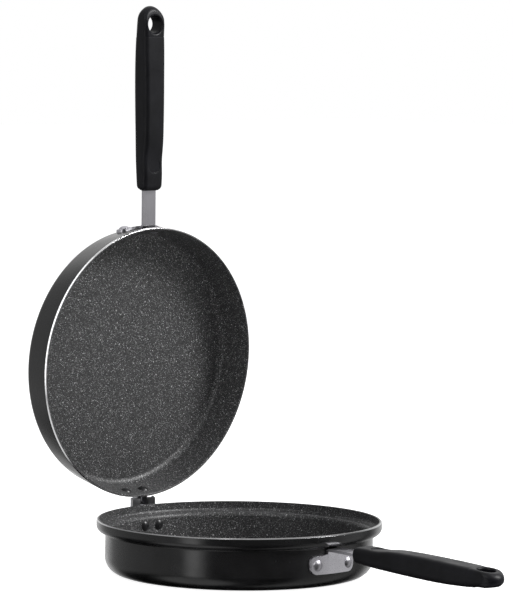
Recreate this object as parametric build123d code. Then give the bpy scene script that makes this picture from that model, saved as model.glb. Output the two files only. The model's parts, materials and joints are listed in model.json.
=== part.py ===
from build123d import *
import math
import os

# Double sided flip pan: a deep lower pan, and a shallower upper pan that stands open on a hinge and folds
# down inside the lower pan's raised lip.  Both pans carry the same grip on a riveted steel bracket.
#
# Frame: +Z up, the origin is the centre of the lower pan's flat base, the lower grip points along +X and
# the hinge is on the -X side.  Lengths are in millimetres and angles in degrees.
# The upper pan is drawn closed and is then turned open about the hinge pin, which is its rest position.

os.makedirs("parts", exist_ok=True)

# ---- upper pan ----
UPPER_RIM_RADIUS = 130.0        # outside of the rim that drops into the lip
UPPER_DEPTH = 36.8
UPPER_WALL = 2.6
UPPER_BASE = 2.6
UPPER_DRAFT = 9.5               # lean of the wall
UPPER_CORNER = 9.5
UPPER_RIM_CHAMFER = 0.5

# ---- lower pan ----
LOWER_HEIGHT = 50.5
SHOULDER_WIDTH = 8.25           # lip stands this far out over the wall
LOWER_WALL = 2.5
LOWER_BASE = 3.0
LOWER_CORNER = 15.0
LIP_CLEARANCE = 0.75            # radial gap between the lip and the upper rim
LIP_BAND = 5.6                  # height of the upright band at the top of the lip
LIP_CHAMFER = 0.9
CREASE_RADIUS = 2.0             # hollow under the shoulder
LEDGE_FLAT = 0.25
SEAT_GAP = 0.4                  # air left under the closed upper rim

# ---- hinge ----
PIN_OFFSET = 6.95               # pin axis outside the lip
PIN_DROP = 3.05                 # pin axis below the top of the lip
OPEN_ANGLE = 86.8               # angle between closed and standing open
PIN_RADIUS = 2.0
PIN_RUNNING_GAP = 0.08
PIN_HEAD_RADIUS = 3.1
PIN_HEAD_HEIGHT = 1.3
BOSS_RADIUS = 4.0
SHEET = 1.8                     # both hinge leaves
SHEET_BEND = 0.6                # inside radius of their bends
CRANK_BEND = 1.0
LEAF_ROUND = 4.0                # corners of their plates
LEAF_HALF_WIDTH = 14.3
LEAF_BOTTOM = 24.5
LEAF_LIP_GAP = 0.95             # between the lip and the upright plate
CRANK_TOP = 38.0                # where the leaf steps out under the shoulder
SWEEP_GAP = 0.4                 # between the turning upper wall and the lower leaf
FLANGE_DEPTH = 1.6
LINK_HALF_WIDTH = 4.2
LINK_SIDE_GAP = 0.4
LINK_LIP_GAP = 0.5              # link above the lip when shut
LINK_RUN = 8.0                  # how far the link runs down the upper wall
LINK_BEND = 1.2
LINK_BACK = 2.6                 # link's underside meets the eye this far before the pin
SLOT_BOTTOM = 48.2
LUG_BACK = 3.6                  # lug plates reach this far behind the pin
STOP_GAP = 0.3
STOP_DEPTH = 5.2
STOP_REACH = 3.3
STOP_ROUND = 1.0
PLATE_HALF_WIDTH = 17.0
PLATE_LENGTH = 14.6

# ---- rivets ----
HANDLE_SHANK = 2.5
HANDLE_HEAD = (5.25, 2.4)       # radius and height of the outer dome
HANDLE_INNER_HEAD = (4.1, 1.4)
HINGE_SHANK = 1.8
HINGE_TAIL = (3.3, 1.0)
HINGE_INNER_HEAD = (5.2, 2.4)
LOWER_HINGE_RIVET = (8.8, 32.0)     # sideways offset and height
UPPER_HINGE_RIVET = (11.0, 14.0)    # sideways offset and depth from the rim
HEAD_SINK = 0.6                 # dome stock below the surface before it is trimmed to the wall

# ---- handle bracket and strap ----
STRAP_WIDTH = 15.6
STRAP_THICKNESS = 2.6
BEND_RADIUS = 4.0
BEND_INNER_RADIUS = 1.4
PLATE_THICKNESS = 2.6
BRACKET_HALF_WIDTH = 27.0
BRACKET_TOP_ROUND = 5.0
BRACKET_NECK_ROUND = 12.0
BRACKET_FOOT_ROUND = 7.5
BRACKET_ARCH = 1.6              # the neck under the strap stands this much higher
BRACKET_RIVET_SPAN = 19.0       # each rivet from the strap's centre line
TANG_END = 71.5                 # how far the strap runs into the grip
TANG_PIN_AT = 52.0
TANG_PIN_RADIUS = 1.5

# ---- grip ----
GRIP_LENGTH = 175.5
TIP_RADIUS = 12.8
GRIP_END_ROUND = 5.0
MATING_ROUND = 4.8
OUTER_ROUND = 6.0
SLEEVE_THICKNESS = 2.2
END_LENGTH = 30.0               # hard end left bare past the sleeve
CORE_RECESS = 0.15
HANG_HOLE_RADIUS = 8.4
HANG_HOLE_FROM_TIP = 18.0
MOUTH_FLARE = 5.2
MOUTH_SPREAD = 20.0
MOUTH_DEPTH = 2.0               # the flare starts this far under the grip's face
MOUTH_ROUND = 4.0
THUMB_RADIUS = 7.5
THUMB_AT = 24.0
THUMB_DEPTH = 1.0
# percent of the grip's length from its pan end, then the half width or the offset from the strap's middle
HALF_WIDTHS = ((0, 12.1), (15.5, 12.4), (33.3, 12.2), (57.5, 12.4), (78.7, 12.9), (92.7, TIP_RADIUS))
MATING_OFFSETS = ((0, 7.5), (8, 8.1), (16.1, 7.8), (26.4, 9.6), (42.5, 10.3), (63.2, 10.0), (81.6, 9.1),
                  (92, 8.2), (100, 5.6))
OUTER_OFFSETS = ((0, 6.9), (8, 7.8), (16.1, 8.6), (26.4, 9.3), (42.5, 10.1), (63.2, 10.3), (81.6, 8.8),
                 (92, 7.4), (100, 5.2))
BODY_STATIONS = (8, 12.6, 17.2, 21.8, 26.4, 34.5, 42.5, 52.9, 63.2, 72.4, 81.6, 87.4)
END_STEPS = (0, 22, 45, 67, 90)
TIP_STEPS = (0, 18, 34, 48, 60, 70, 78)

# ---- lengths of cutting stock, past everything they cut ----
CUT_REACH = 60.0
BLOCK_REACH = 200.0

# ---- the two handles: strap depth from the pan's own rim, its slope, the bare strap, and the bracket ----
UPPER_HANDLE = dict(depth=11.4, tilt=3.43, bare=33.7, top=6.2, bottom=19.9, rivet=12.9)
LOWER_HANDLE = dict(depth=14.2, tilt=1.42, bare=35.6, top=5.3, bottom=22.0, rivet=13.6)

# ---- derived sizes ----
draft_slope = math.tan(math.radians(UPPER_DRAFT))
lip_inner = UPPER_RIM_RADIUS + LIP_CLEARANCE
lip_outer = lip_inner + LOWER_WALL
lower_wall_radius = lip_outer - SHOULDER_WIDTH
shoulder_radius = SHOULDER_WIDTH - CREASE_RADIUS - LEDGE_FLAT
ledge_radius = shoulder_radius - LOWER_WALL
band_bottom = LOWER_HEIGHT - LIP_BAND
ledge_underside = band_bottom - shoulder_radius
ledge_top = ledge_underside + LOWER_WALL


def ledge_height(radius):
    """Height of the ledge's rounded upper surface at a radius."""
    across = radius - (lip_inner - ledge_radius)
    return band_bottom - math.sqrt(ledge_radius ** 2 - across ** 2)


seat_height = SEAT_GAP + max(ledge_height(UPPER_RIM_RADIUS - UPPER_RIM_CHAMFER),
                             ledge_height(UPPER_RIM_RADIUS) - UPPER_RIM_CHAMFER)
hinge_reach = lip_outer + PIN_OFFSET
hinge_height = LOWER_HEIGHT - PIN_DROP
pin_depth = hinge_height - seat_height      # pin axis measured from the upper rim plane
web_front = lip_outer + LEAF_LIP_GAP
web_back = web_front + SHEET
slope_length = math.hypot(1, draft_slope)
sweep_radius = ((hinge_reach - UPPER_RIM_RADIUS) + pin_depth * draft_slope) / slope_length - SWEEP_GAP
slot_half = LINK_HALF_WIDTH + LINK_SIDE_GAP
lug_outer = slot_half + SHEET
link_base = LOWER_HEIGHT + LINK_LIP_GAP - seat_height
sleeve_length = GRIP_LENGTH - END_LENGTH
hang_hole_at = GRIP_LENGTH - HANG_HOLE_FROM_TIP

# ---- placements ----
FAR_SIDE = Rot(0, 0, 180)
LOWER_RIM = Pos(0, 0, LOWER_HEIGHT) * Rot(180, 0, 0)
OPEN_TURN = Pos(-hinge_reach, 0, hinge_height) * Rot(0, -OPEN_ANGLE, 0) * Pos(hinge_reach, 0, -hinge_height)
UPPER_RIM = OPEN_TURN * Pos(0, 0, seat_height)


# ---- shape helpers ----
def outline(points):
    """Closed face from (a, b, corner radius) triples."""
    return make_face(FilletPolyline(*[p[:2] for p in points], radius=[p[2] for p in points], close=True))


def turned(points):
    """Solid of revolution about Z from a section of (radius, height, corner radius)."""
    return revolve(Plane.XZ * outline(points), Axis.Z)


def strip(face, half_width):
    """Section in the XZ plane made into a bar across the centre line."""
    return extrude(Plane.XZ * face, amount=half_width, both=True)


def front_block(points):
    """Outline of (sideways, height, corner radius) pushed out along +X."""
    return extrude(Plane.YZ * outline(points), amount=BLOCK_REACH)


def rod(radius, half_length):
    """Round bar along Y through the origin."""
    return Cylinder(radius, 2 * half_length, rotation=(90, 0, 0))


def dome(size, sink=HEAD_SINK):
    """Rivet dome standing on the YZ plane, with stock below it."""
    radius, height = size
    ball = (radius ** 2 + height ** 2) / (2 * height)
    drum = Pos((height - sink) / 2, 0, 0) * Cylinder(radius, height + sink, rotation=(0, 90, 0))
    return drum & (Pos(height - ball, 0, 0) * Sphere(ball))


def wall_spot(radius, draft, depth):
    """Place on a wall's outer face at the XZ plane: local +X is the outward normal."""
    return Pos(radius - depth * math.tan(math.radians(draft)), 0, depth) * Rot(0, -draft, 0)


def shell(radius, draft, inside, outside, low, high):
    """Ring lying along a wall between two depths, from `inside` under its outer face to `outside` over it."""
    slope = math.tan(math.radians(draft))
    stretch = math.hypot(1, slope)
    corners = [(low, -inside), (low, outside), (high, outside), (high, -inside)]
    return turned([(radius - depth * slope + offset * stretch, depth, 0) for depth, offset in corners])


def rivet_set(radius, draft, wall, depth, sideways, grip_outer, shank, outer, inner):
    """Pair of rivets: domes trimmed to the wall and sheet, and shanks through them, with their hole bars."""
    spot = wall_spot(radius, draft, depth)
    length = grip_outer + wall + 1
    bar = spot * Pos((grip_outer - wall) / 2, 0, 0) * Cylinder(shank, length, rotation=(0, 90, 0))
    reach = 2 * max(outer[0], inner[0])
    joined = shell(radius, draft, wall, grip_outer, depth - reach, depth + reach)
    outer_head = spot * Pos(grip_outer, 0, 0) * dome(outer) - joined
    inner_head = spot * Pos(-wall, 0, 0) * Rot(0, 180, 0) * dome(inner) - joined
    rivet = bar + outer_head + inner_head
    turn = math.degrees(math.asin(sideways / (radius - depth * math.tan(math.radians(draft)))))
    pair = [Rot(0, 0, turn), Rot(0, 0, -turn)]
    return Part() + [place * rivet for place in pair], Part() + [place * bar for place in pair]


# ---- grip ----
def eased(table, at):
    """Value from a table at a distance along the grip, with level ends at each station."""
    share = 100 * at / GRIP_LENGTH
    for (left, low), (right, high) in zip(table, table[1:]):
        if share <= right:
            t = (share - left) / (right - left)
            return low + (high - low) * t * t * (3 - 2 * t)
    return table[-1][1]


def grip_section(at, inset):
    """Rounded cross-section of the grip at a distance from its pan end."""
    past = max(at - (GRIP_LENGTH - TIP_RADIUS), 0)
    half = eased(HALF_WIDTHS, at) - inset
    if past:
        half = math.sqrt(TIP_RADIUS ** 2 - past ** 2) - inset
    low, high = eased(MATING_OFFSETS, at) - inset, eased(OUTER_OFFSETS, at) - inset
    near = min(MATING_ROUND, 0.9 * half, 0.34 * (low + high))
    far = min(OUTER_ROUND, 0.9 * half, 0.55 * (low + high))
    face = outline([(-half, -low, near), (half, -low, near), (half, high, far), (-half, high, far)])
    return Plane(origin=(at, 0, 0), x_dir=(0, 1, 0), z_dir=(1, 0, 0)) * face


def grip_solid(inset):
    """Whole grip, `inset` smaller all round, along +X from its pan end."""
    stations = []
    for step in END_STEPS:
        turn = math.radians(step)
        back = GRIP_END_ROUND * (1 - math.sin(turn))
        stations.append((inset + GRIP_END_ROUND * (1 - math.cos(turn)), inset + back))
    stations += [(GRIP_LENGTH * share / 100, inset) for share in BODY_STATIONS]
    for step in TIP_STEPS:
        reach = TIP_RADIUS * math.sin(math.radians(step))
        stations.append((GRIP_LENGTH - TIP_RADIUS + reach * (1 - inset / TIP_RADIUS), inset))
    return loft([grip_section(at, small) for at, small in stations])


def hanging_hole():
    """Hanging hole with both mouths opening out."""
    low, high = eased(MATING_OFFSETS, hang_hole_at), eased(OUTER_OFFSETS, hang_hole_at)
    wide = HANG_HOLE_RADIUS + MOUTH_FLARE
    section = [(0, -MOUTH_SPREAD, 0), (wide, -MOUTH_SPREAD, 0), (HANG_HOLE_RADIUS, MOUTH_DEPTH - low, MOUTH_ROUND),
               (HANG_HOLE_RADIUS, high - MOUTH_DEPTH, MOUTH_ROUND), (wide, MOUTH_SPREAD, 0), (0, MOUTH_SPREAD, 0)]
    return Pos(hang_hole_at, 0, 0) * turned(section)


def grip_parts(tang):
    """Core and sleeve along +X from the pan end; the strap's tang lies on the XY plane."""
    beyond = Pos(sleeve_length + GRIP_LENGTH / 2, 0, 0) * Box(GRIP_LENGTH, CUT_REACH, CUT_REACH)
    inner = grip_solid(SLEEVE_THICKNESS) - beyond
    end = grip_solid(CORE_RECESS) & beyond
    pin_hole = Pos(TANG_PIN_AT, 0, 0) * Cylinder(TANG_PIN_RADIUS, CUT_REACH)
    core = inner + end - hanging_hole() - tang - pin_hole
    tilt = math.degrees(math.atan(THUMB_DEPTH / (2 * THUMB_RADIUS)))
    floor = eased(MATING_OFFSETS, THUMB_AT) - THUMB_DEPTH / 2
    thumb = Pos(THUMB_AT, 0, -floor) * Rot(0, tilt, 0) * Pos(0, 0, -5) * Cylinder(THUMB_RADIUS, 10)
    sleeve = grip_solid(0) - beyond - inner - tang - thumb
    pin = (pin_hole & inner) + (pin_hole & tang)
    return core, sleeve, pin


# ---- handle: bracket, rivets and grip in a pan's rim frame, depth along +Z and the grip along +X ----
def strap_section(radius, draft, depth, tilt, bare):
    """Side section of the strap: up the wall, round the bend and out along the grip's middle line."""
    slope, rise = math.tan(math.radians(draft)), math.tan(math.radians(tilt))
    half = STRAP_THICKNESS / 2 / math.cos(math.radians(tilt))
    end, deep = radius + bare + TANG_END, depth + BRACKET_RIVET_SPAN / 2
    cover = PLATE_THICKNESS * math.hypot(1, slope)

    def strap_line(x, side):
        return depth + side * half + rise * (x - radius)

    def crossing(offset, side):
        x = (radius + offset - slope * (depth + side * half - rise * radius)) / (1 + slope * rise)
        return x, strap_line(x, side)

    return outline([(radius - slope * deep, deep, 0), (*crossing(0, -1), BEND_RADIUS),
                    (end, strap_line(end, -1), 0), (end, strap_line(end, 1), 0),
                    (*crossing(cover, 1), BEND_INNER_RADIUS), (radius - slope * deep + cover, deep, 0)])


def handle(radius, draft, wall, depth, tilt, bare, top, bottom, rivet):
    """Bracket, rivets, core, sleeve, tang pin and the rivet holes of one handle."""
    strap = strip(strap_section(radius, draft, depth, tilt, bare), STRAP_WIDTH / 2)
    plate_ring = shell(radius, draft, 0, PLATE_THICKNESS, depth, depth + bottom + 1)
    wide, edge, arch = BRACKET_HALF_WIDTH, depth + top, depth + top - BRACKET_ARCH
    left = [(-wide, depth + bottom, BRACKET_FOOT_ROUND), (-wide, edge, BRACKET_TOP_ROUND),
            (-STRAP_WIDTH, edge, BRACKET_NECK_ROUND), (-STRAP_WIDTH / 2, arch, 0)]
    right = [(-across, height, round_off) for across, height, round_off in reversed(left)]
    plate = plate_ring & front_block(left + right)
    bracket = strap + plate
    rivets, holes = rivet_set(radius, draft, wall, depth + rivet, BRACKET_RIVET_SPAN, PLATE_THICKNESS,
                              HANDLE_SHANK, HANDLE_HEAD, HANDLE_INNER_HEAD)
    middle = depth + math.tan(math.radians(tilt)) * bare
    seat = Pos(radius + bare, 0, middle) * Rot(0, -tilt, 0)
    core, sleeve, pin = grip_parts(seat.inverse() * strap)
    bracket = bracket - holes - seat * Pos(TANG_PIN_AT, 0, 0) * Cylinder(TANG_PIN_RADIUS, CUT_REACH)
    return dict(bracket=bracket, rivets=rivets, core=seat * core, sleeve=seat * sleeve,
                pin=seat * pin, holes=holes)


# ---- hinge, drawn on the +X side ----
def lower_leaf():
    """Fixed leaf: wall plate, step out under the shoulder, upright plate with a slot, lugs and flanges."""
    half, under = LEAF_HALF_WIDTH, CRANK_TOP - SHEET
    wall = lower_wall_radius
    step_out = web_front - SHEET
    seat = turned([(wall, LEAF_BOTTOM, 0), (wall, CRANK_TOP, SHEET_BEND + SHEET),
                   (step_out, CRANK_TOP, 0), (step_out, under, 0), (wall + SHEET, under, SHEET_BEND),
                   (wall + SHEET, LEAF_BOTTOM, 0)])
    face = front_block([(-half, LEAF_BOTTOM, LEAF_ROUND), (half, LEAF_BOTTOM, LEAF_ROUND),
                        (half, CRANK_TOP, 0), (-half, CRANK_TOP, 0)])
    top = hinge_height + sweep_radius
    tail = step_out - CRANK_BEND
    upright = outline([(tail, CRANK_TOP, 0), (web_front, CRANK_TOP, CRANK_BEND), (web_front, top, 0),
                       (web_back, top, 0), (web_back, under, CRANK_BEND + SHEET), (tail, under, 0)])
    over = Pos(hinge_reach, hinge_height + sweep_radius) * Rectangle(CUT_REACH, 2 * sweep_radius)
    over -= Pos(hinge_reach, hinge_height) * Circle(sweep_radius)
    ear = Pos(hinge_reach, hinge_height) * Circle(BOSS_RADIUS)
    back = hinge_reach + LUG_BACK
    ear += outline([(web_front, CRANK_TOP, 0), (web_back, CRANK_TOP + 1, 0), (back - 1, hinge_height - 3, 0),
                    (back, hinge_height, 0), (back, top, 0), (web_front, top, 0)])
    rim = outline([(web_front, CRANK_TOP, 0), (web_back, CRANK_TOP, 0), (web_back + FLANGE_DEPTH, CRANK_TOP + 3, 0),
                   (web_back + FLANGE_DEPTH, top, 0), (web_front, top, 0)])
    lug, flange = strip(ear - over, SHEET / 2), strip(rim - over, SHEET / 2)
    leaf = (seat & face) + strip(upright - over, half)
    slot_middle = (SLOT_BOTTOM + top) / 2 + 1
    leaf -= Pos(web_front, 0, slot_middle) * Box(10, 2 * slot_half, top - SLOT_BOTTOM + 2)
    for side in (-1, 1):
        leaf += Pos(0, side * (slot_half + SHEET / 2), 0) * lug
        leaf += Pos(0, side * (half - SHEET / 2), 0) * flange
    return leaf - Pos(hinge_reach, 0, hinge_height) * rod(PIN_RADIUS, lug_outer + 1)


def upper_leaf():
    """Moving leaf in the upper rim frame: wall plate, link over the lip, eye round the pin and stop toe."""
    rim, slope = UPPER_RIM_RADIUS, draft_slope
    cover = SHEET * slope_length
    bottom, deep = link_base, link_base + PLATE_LENGTH
    side = PLATE_HALF_WIDTH
    plate = shell(rim, UPPER_DRAFT, 0, SHEET, bottom, deep + 1) & front_block([
        (-side, bottom + 0.4, LEAF_ROUND), (side, bottom + 0.4, LEAF_ROUND),
        (side - LEAF_ROUND, deep, LEAF_ROUND), (LEAF_ROUND - side, deep, LEAF_ROUND)])
    eye = (hinge_reach, pin_depth)
    above = bottom + SHEET
    run = bottom + LINK_RUN
    link = outline([(rim - slope * run, run, 0), (rim - slope * bottom, bottom, SHEET_BEND + SHEET),
                    (web_front - 0.4, bottom, LINK_BEND), (hinge_reach - LINK_BACK, pin_depth + 0.6, 0),
                    (hinge_reach + 0.8, pin_depth + BOSS_RADIUS - 0.4, 0),
                    (web_front + 0.6, above, 2 * LINK_BEND), (rim - slope * above + cover, above, SHEET_BEND),
                    (rim - slope * run + cover, run, 0)])
    toe_front = web_back + STOP_GAP - hinge_reach
    toe = outline([(toe_front, -STOP_DEPTH, STOP_ROUND), (STOP_REACH, -STOP_DEPTH, STOP_ROUND),
                   (STOP_REACH, 0, 0), (toe_front, 0, 0)])
    shape = link + Pos(*eye) * Circle(BOSS_RADIUS - 0.1) + Pos(*eye) * Rot(0, 0, OPEN_ANGLE) * toe
    leaf = plate + strip(shape, LINK_HALF_WIDTH)
    return leaf - Pos(hinge_reach, 0, pin_depth) * rod(PIN_RADIUS + PIN_RUNNING_GAP, LINK_HALF_WIDTH + 1)


def hinge_pin():
    """Pin with a rounded head at each end, along Y."""
    end = lug_outer + PIN_HEAD_HEIGHT
    half = [(PIN_HEAD_RADIUS, lug_outer, 0), (PIN_HEAD_RADIUS, end, 1), (0, end, 0)]
    shank = [(PIN_RADIUS, -lug_outer, 0), (PIN_RADIUS, lug_outer, 0)]
    return Rot(90, 0, 0) * turned([(r, -h, c) for r, h, c in reversed(half)] + shank + half)


# ---- pans ----
def lower_pan():
    """Deep pan: flat base, round corner, straight wall, shoulder and upright lip."""
    wall, inner = lower_wall_radius, lower_wall_radius - LOWER_WALL
    return turned([
        (0, 0, 0), (wall, 0, LOWER_CORNER), (wall, ledge_underside, CREASE_RADIUS),
        (lip_outer, ledge_underside, shoulder_radius), (lip_outer, LOWER_HEIGHT - LIP_CHAMFER, 0),
        (lip_outer - LIP_CHAMFER, LOWER_HEIGHT, 0), (lip_inner, LOWER_HEIGHT, 0),
        (lip_inner, ledge_top, ledge_radius), (inner, ledge_top, CREASE_RADIUS + LOWER_WALL),
        (inner, LOWER_BASE, LOWER_CORNER - LOWER_BASE), (0, LOWER_BASE, 0)])


def upper_pan():
    """Shallow pan in its rim frame: rim plane at zero, base on top."""
    rim, depth, slope = UPPER_RIM_RADIUS, UPPER_DEPTH, draft_slope
    inside = rim - UPPER_WALL * slope_length
    floor = depth - UPPER_BASE
    return turned([
        (rim - UPPER_RIM_CHAMFER, 0, 0), (rim - slope * UPPER_RIM_CHAMFER, UPPER_RIM_CHAMFER, 0),
        (rim - slope * depth, depth, UPPER_CORNER), (0, depth, 0), (0, floor, 0),
        (inside - slope * floor, floor, UPPER_CORNER - UPPER_BASE), (inside, 0, 0)])


# ---- assembly ----
upper_handle = handle(UPPER_RIM_RADIUS, UPPER_DRAFT, UPPER_WALL, **UPPER_HANDLE)
lower_handle = handle(lower_wall_radius, 0, LOWER_WALL, **LOWER_HANDLE)
leaf_fixed, leaf_moving = lower_leaf(), upper_leaf()

sideways, height = LOWER_HINGE_RIVET
fixed_rivets, fixed_holes = rivet_set(lower_wall_radius, 0, LOWER_WALL, height, sideways, SHEET,
                                      HINGE_SHANK, HINGE_TAIL, HINGE_INNER_HEAD)
sideways, depth = UPPER_HINGE_RIVET
moving_rivets, moving_holes = rivet_set(UPPER_RIM_RADIUS, UPPER_DRAFT, UPPER_WALL, depth, sideways, SHEET,
                                        HINGE_SHANK, HINGE_TAIL, HINGE_INNER_HEAD)

lower_body = lower_pan() - LOWER_RIM * lower_handle["holes"] - FAR_SIDE * fixed_holes
upper_body = upper_pan() - upper_handle["holes"] - FAR_SIDE * moving_holes

parts = {
    "lower_pan_body": lower_body,
    "lower_handle_bracket": LOWER_RIM * lower_handle["bracket"],
    "lower_bracket_rivets": LOWER_RIM * lower_handle["rivets"],
    "lower_grip_core": LOWER_RIM * lower_handle["core"],
    "lower_grip_sleeve": LOWER_RIM * lower_handle["sleeve"],
    "lower_tang_pin": LOWER_RIM * lower_handle["pin"],
    "hinge_lower_bracket": FAR_SIDE * (leaf_fixed - fixed_holes),
    "hinge_lower_rivets": FAR_SIDE * fixed_rivets,
    "hinge_pin": Pos(-hinge_reach, 0, hinge_height) * hinge_pin(),
    "upper_pan_body": UPPER_RIM * upper_body,
    "upper_handle_bracket": UPPER_RIM * upper_handle["bracket"],
    "upper_bracket_rivets": UPPER_RIM * upper_handle["rivets"],
    "upper_grip_core": UPPER_RIM * upper_handle["core"],
    "upper_grip_sleeve": UPPER_RIM * upper_handle["sleeve"],
    "upper_tang_pin": UPPER_RIM * upper_handle["pin"],
    "hinge_upper_bracket": UPPER_RIM * FAR_SIDE * (leaf_moving - moving_holes),
    "hinge_upper_rivets": UPPER_RIM * FAR_SIDE * moving_rivets,
}

for name, shape in parts.items():
    export_step(shape, f"parts/{name}.step")
    box = shape.bounding_box()
    print(name, "solids", len(shape.solids()), "volume", round(shape.volume),
          "box", [round(v, 1) for v in (*box.min, *box.max)])
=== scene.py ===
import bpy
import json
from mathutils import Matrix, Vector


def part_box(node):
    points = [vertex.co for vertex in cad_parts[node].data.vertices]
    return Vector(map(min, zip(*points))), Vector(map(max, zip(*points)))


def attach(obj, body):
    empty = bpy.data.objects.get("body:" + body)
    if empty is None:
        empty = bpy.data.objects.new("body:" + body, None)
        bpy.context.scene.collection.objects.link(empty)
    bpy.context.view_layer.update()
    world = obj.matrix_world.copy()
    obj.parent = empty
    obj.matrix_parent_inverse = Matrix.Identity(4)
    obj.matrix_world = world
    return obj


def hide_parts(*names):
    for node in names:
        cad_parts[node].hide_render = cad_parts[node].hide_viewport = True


bl_info = {
    "name": "Double sided flip pan",
    "version": (1, 0, 0),
    "blender": (4, 5, 0),
    "location": "3D View > Sidebar > Flip pan",
    "description": "Two hinged frying pans with riveted brackets and long soft grips",
    "category": "Object",
}

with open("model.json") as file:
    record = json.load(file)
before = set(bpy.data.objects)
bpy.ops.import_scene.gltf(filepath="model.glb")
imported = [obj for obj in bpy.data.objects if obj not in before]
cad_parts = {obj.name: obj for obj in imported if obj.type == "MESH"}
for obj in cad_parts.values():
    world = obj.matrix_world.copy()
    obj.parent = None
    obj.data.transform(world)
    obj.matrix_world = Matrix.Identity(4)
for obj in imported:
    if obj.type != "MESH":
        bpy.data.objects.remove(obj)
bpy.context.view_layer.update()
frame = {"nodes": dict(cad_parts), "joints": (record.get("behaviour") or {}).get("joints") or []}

import json
import math

import bmesh
import bpy
import numpy as np
from bpy.props import FloatProperty, FloatVectorProperty, PointerProperty
from mathutils import Matrix, Vector

HINGE = next(joint for joint in frame["joints"] if joint["name"] == "pan_hinge")
PIN_X, PIN_Z = HINGE["pos_m"][0], HINGE["pos_m"][2]
OPEN_ANGLE = math.radians(HINGE["range_deg"][1])
LOWER_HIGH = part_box("lower_pan_body")[1]
MM = 0.001
COATING_TURN = (0.7, 0.4, 1.1)      # turns the fleck pattern out of line with walls and bases
FINE_ROUND = 0.2 * MM               # small rounding of the lip's cut edge
LEDGE_FLAT = 0.25 * MM              # flat left between the shoulder's two curves
RIM_ROUND = 0.4 * MM                # rounding of the upper rim's bevel
BARE_RIM_SHARE = 1.4                # bare metal's width on the upper rim, over its bevel's width
LOWER_RIM_PAINTED_SHADE = 0.52               # painted shade: the lower rim's turned metal is darkened to this share of the upper rim's
ARC_STEPS = 12                      # faces round each corner of a pan's section
RING_STEPS = 288                    # faces round each pan
INSIDE_SLACK = 0.05 * MM            # a strip is coated inside up to this far past the lip's inner radius
RIM_SLACK = 0.02 * MM               # a strip is bare rim from this far above the foot of the lip's chamfer
SLEEVE_END_ROUND = 5.0 * MM         # the soft sleeve's round at its pan end
SLEEVE_LIP_ROUND = 0.25 * MM        # and where it meets the moulded end
NEAR_ROUND_LIMIT = 0.34             # a sleeve's edge roundings are at most these shares of its thickness
FAR_ROUND_LIMIT = 0.55
THUMB_EDGE = 0.35 * MM              # width of the thumb mark's wall
MATING_FACE = 0.6                   # points past this share of the near offset are on the mating face
HIDDEN_END = 136 * MM               # the moulded end starts here, under the sleeve
TIP_SETBACK = 0.27 * MM             # the moulded tip stands back from the grip's full length
TIP_REACH = 0.7                     # share of the tip's radius over which its front grows rounder
CRISPER_SIDES = 1.8 * MM            # the end's mating edges are this much crisper than the sleeve's
SOFTER_TIP = 2.5 * MM               # and its front is rounder again by this much
OUTER_SLACK = 0.2 * MM              # wall left between the roundings of the end's two faces
SLEEVE_ROWS = 250                   # stations along the sleeve between its two rounded ends
SLEEVE_CORNER_POINTS = 10           # points on each corner of the sleeve's section
SLEEVE_FACE_POINTS = 46             # and on its mating and outer faces
SLEEVE_SIDE_POINTS = 6              # and on its two sides
QUARTER_STEPS = 12                  # points on the quarter circles at a sleeve's end and a hole's mouth
HOLE_RAYS = 220                     # rays from the hanging hole's axis
FACE_STEPS = 26                     # points along a ray, on each face of the moulded end
MERGE_WITHIN = 1e-6                 # points closer than this become one
THINNEST = 1e-7                     # edges and faces thinner than this go
PAN_CRISP, GRIP_CRISP, METAL_CRISP = 50, 40, 28     # edges over this many degrees are shaded crisp
BEVEL_FROM = 35                     # and over this they are rounded, in degrees
PAINTED_HIGHLIGHT_FACING = 0.8               # a leaf's face takes the painted highlight if its normal is this near the pin's way
UPPER_BRACKET_PAINTED_SHADE = 0.85           # tones of the bracket steel: the upper bracket's is darkened as painted shade, the lower bracket's is lightened as painted light, and the rivets' tone follows
LOWER_BRACKET_PAINTED_LIGHT = 1.3
RIVET_TONE = 0.9


# ---------------------------------------------------------------- settings
def length(name, about, millimetres):
    """A length setting, given in millimetres and kept in metres."""
    return FloatProperty(name=name, description=about, default=millimetres * MM, unit="LENGTH",
                         precision=4)


def colour(name, about, value):
    """A colour setting."""
    return FloatVectorProperty(name=name, description=about, default=value, subtype="COLOR", size=3,
                               min=0, max=1)


class FlipPanSizes(bpy.types.PropertyGroup):
    """Sizes of the two pressed pans."""
    lip_radius: FloatProperty(name="Lip radius", description="Outside radius of the lower pan's lip",
                              default=LOWER_HIGH[0], unit="LENGTH")
    lower_height: FloatProperty(name="Lower height", description="Height of the lower pan",
                                default=LOWER_HIGH[2], unit="LENGTH")
    lower_radius: length("Lower wall radius", "Outside radius of the lower pan's wall", 125.0)
    lower_wall: length("Lower wall", "Thickness of the lower pan's wall", 2.5)
    lower_base: length("Lower base", "Thickness of the lower pan's base", 3.0)
    lower_corner: length("Lower corner", "Outside radius between base and wall", 15.0)
    lip_band: length("Lip band", "Height of the upright band of the lip", 5.6)
    lip_chamfer: length("Lip chamfer", "Bare chamfer round the top of the lip", 0.9)
    crease: length("Crease", "Radius of the hollow under the shoulder", 2.0)
    upper_radius: length("Upper rim radius", "Outside radius of the upper pan's rim", 130.0)
    upper_depth: length("Upper depth", "Depth of the upper pan", 36.8)
    upper_wall: length("Upper wall", "Thickness of the upper pan", 2.6)
    upper_corner: length("Upper corner", "Outside radius between base and wall", 9.5)
    upper_draft: FloatProperty(name="Upper draft", description="Lean of the upper pan's wall",
                               default=math.radians(9.5), subtype="ANGLE")
    rim_bevel: length("Rim bevel", "Depth of the bare bevel round the upper rim", 1.5)
    rim_land: length("Rim land", "Width of the bevel across the upper rim", 1.0)
    mouth_round: length("Mouth round", "Edge radius between the upper rim and the inside", 1.15)
    seat_height: length("Seat height", "Height of the upper rim when the pan is shut", 42.635)


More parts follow.
